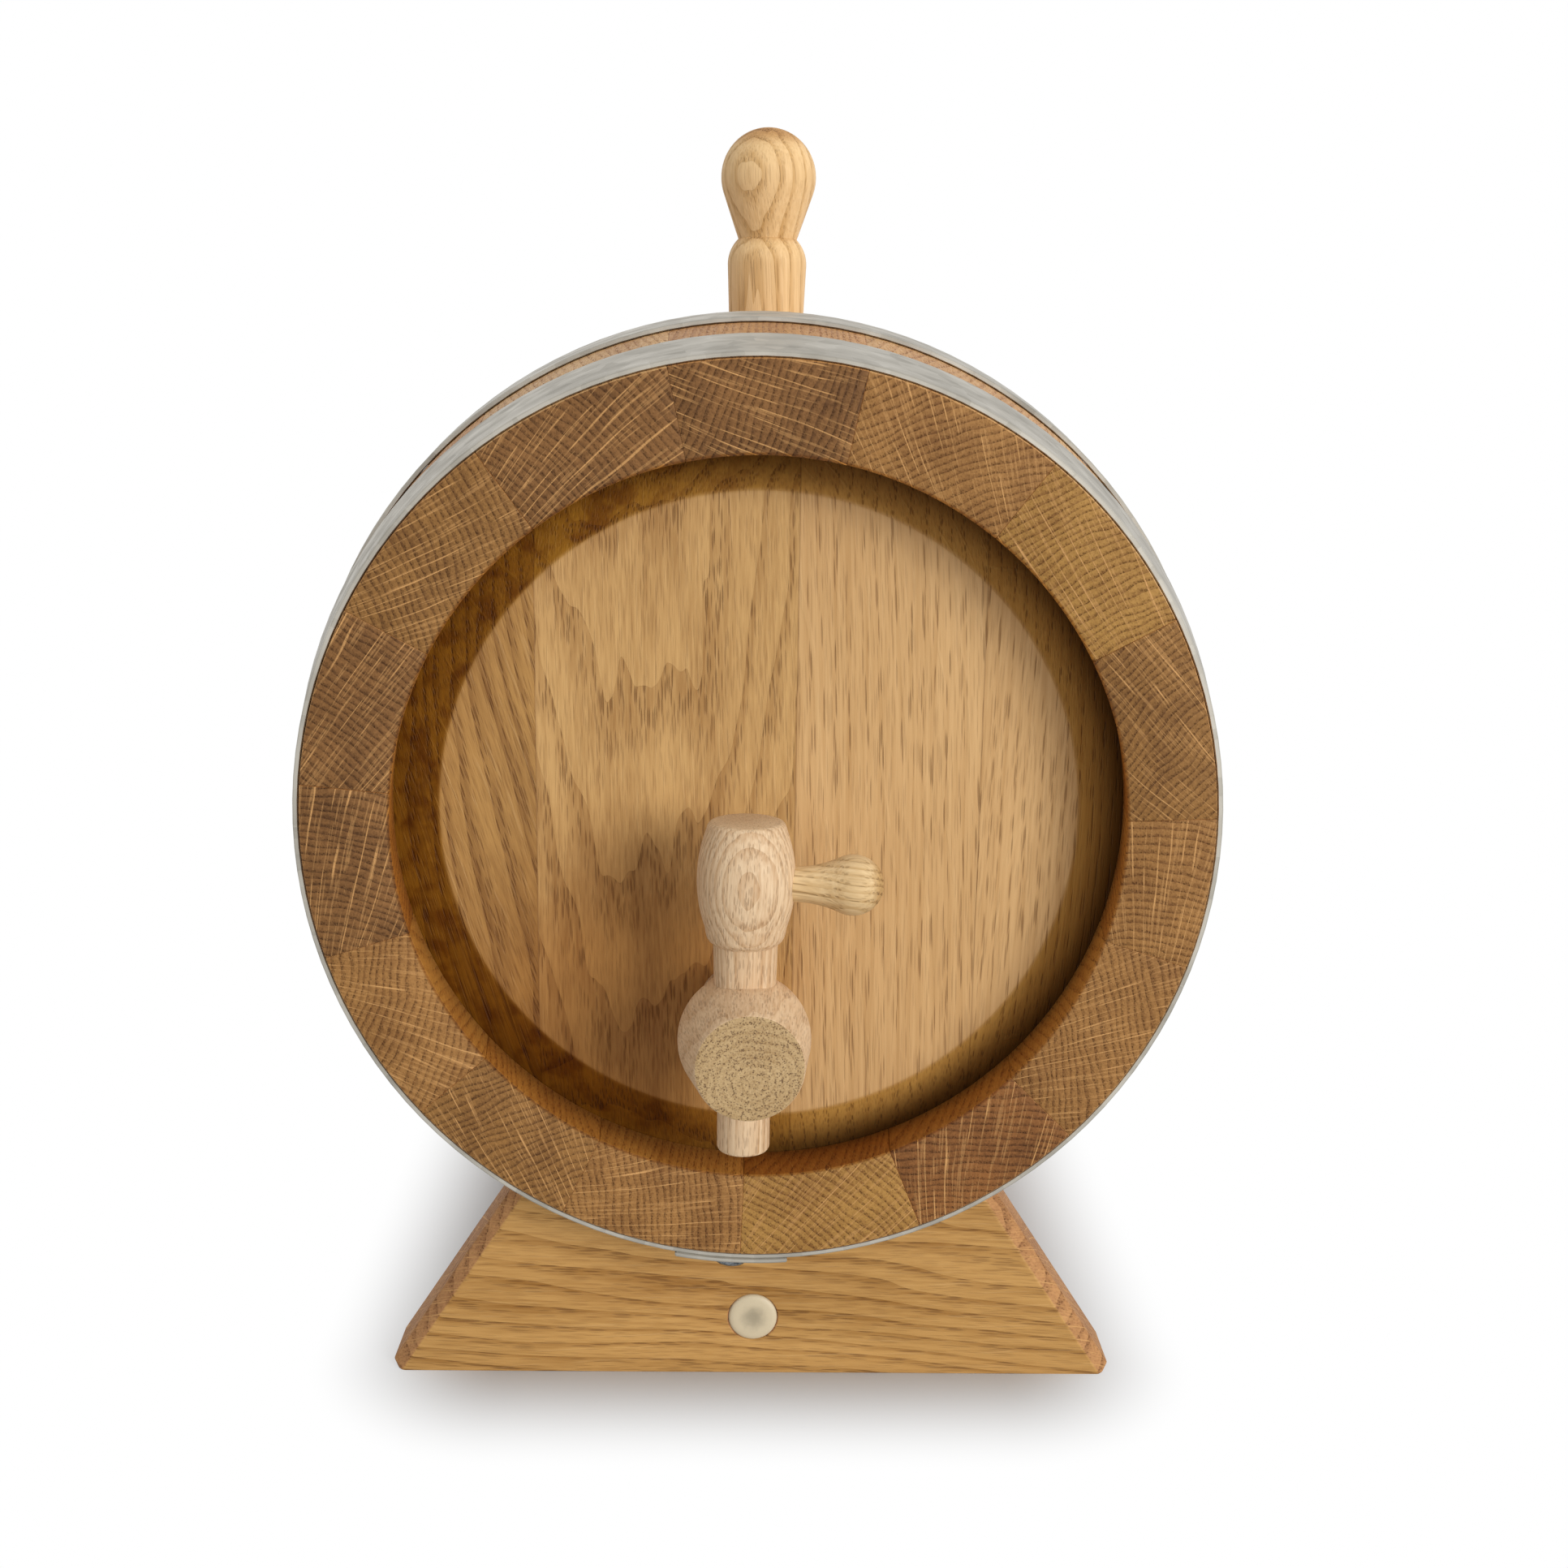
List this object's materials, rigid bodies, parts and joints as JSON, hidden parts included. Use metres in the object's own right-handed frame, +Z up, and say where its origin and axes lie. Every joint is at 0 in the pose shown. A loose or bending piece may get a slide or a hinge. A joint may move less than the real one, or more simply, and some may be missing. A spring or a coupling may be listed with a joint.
{
  "type": "cask liquor dispenser",
  "caption": "Small barrelled oak cask lying on a two-board cradle, with steel hoops, a lift-out turned bung on top and a turned wooden tap with a side lever in the front head.",
  "frame": {"origin": "on the floor under the middle of the whole object's box", "axes": "+Z up; the cask's axis lies along Y, with the tapped front head towards -Y; +X is to the right as seen from the front"},
  "size_m": [0.23, 0.288, 0.3097],
  "materials": {
    "stave_oak": "sanded oak, end grain and long grain",
    "head_oak": "sanded and waxed oak boards",
    "dowel_beech": "plain beech dowel rod",
    "tap_beech": "turned and sanded beech",
    "lever_oak": "turned oak",
    "bung_oak": "turned oak",
    "cradle_oak": "sawn and sanded oak",
    "hoop_steel": "galvanised strip, softly glossy",
    "rivet_steel": "dark button head",
    "screw_steel": "zinc plated",
    "cap_plastic": "beige moulded plastic"
  },
  "bodies": {
    "stand": {"front_cradle_board": "cradle_oak", "rear_cradle_board": "cradle_oak", "spreader_rail": "cradle_oak", "stand_screws": "screw_steel", "rail_dowels": "dowel_beech", "front_cover_cap": "cap_plastic", "rear_cover_cap": "cap_plastic"},
    "cask": {"stave_01": "stave_oak", "stave_02": "stave_oak", "stave_03": "stave_oak", "stave_04": "stave_oak", "stave_05": "stave_oak", "stave_06": "stave_oak", "stave_07": "stave_oak", "stave_08": "stave_oak", "stave_09": "stave_oak", "stave_10": "stave_oak", "stave_11": "stave_oak", "stave_12": "stave_oak", "stave_13": "stave_oak", "stave_14": "stave_oak", "stave_15": "stave_oak", "front_head_board_1": "head_oak", "front_head_board_2": "head_oak", "front_head_board_3": "head_oak", "front_head_board_4": "head_oak", "rear_head_board_1": "head_oak", "rear_head_board_2": "head_oak", "rear_head_board_3": "head_oak", "rear_head_board_4": "head_oak", "front_head_dowels": "dowel_beech", "rear_head_dowels": "dowel_beech", "front_chime_hoop": "hoop_steel", "front_quarter_hoop": "hoop_steel", "rear_chime_hoop": "hoop_steel", "rear_quarter_hoop": "hoop_steel", "front_chime_hoop_rivets": "rivet_steel", "front_quarter_hoop_rivets": "rivet_steel", "rear_chime_hoop_rivets": "rivet_steel", "rear_quarter_hoop_rivets": "rivet_steel", "tap_body": "tap_beech"},
    "bung": {"bung": "bung_oak"},
    "key": {"tap_key": "tap_beech", "lever_peg": "lever_oak"}
  },
  "joints": [
    {"name": "cask_lift", "type": "slide", "parent": "stand", "child": "cask", "axis": [0, 0, 1], "range_m": [0, 0.08]},
    {"name": "bung_pull", "type": "slide", "parent": "cask", "child": "bung", "axis": [0.0052, 0, 1], "range_m": [0, 0.06]},
    {"name": "key_turn", "type": "hinge", "parent": "cask", "child": "key", "pos_m": [-0.0028, -0.12496, 0.1002], "axis": [0, 0, 1], "range_deg": [-225, 45]}
  ]
}
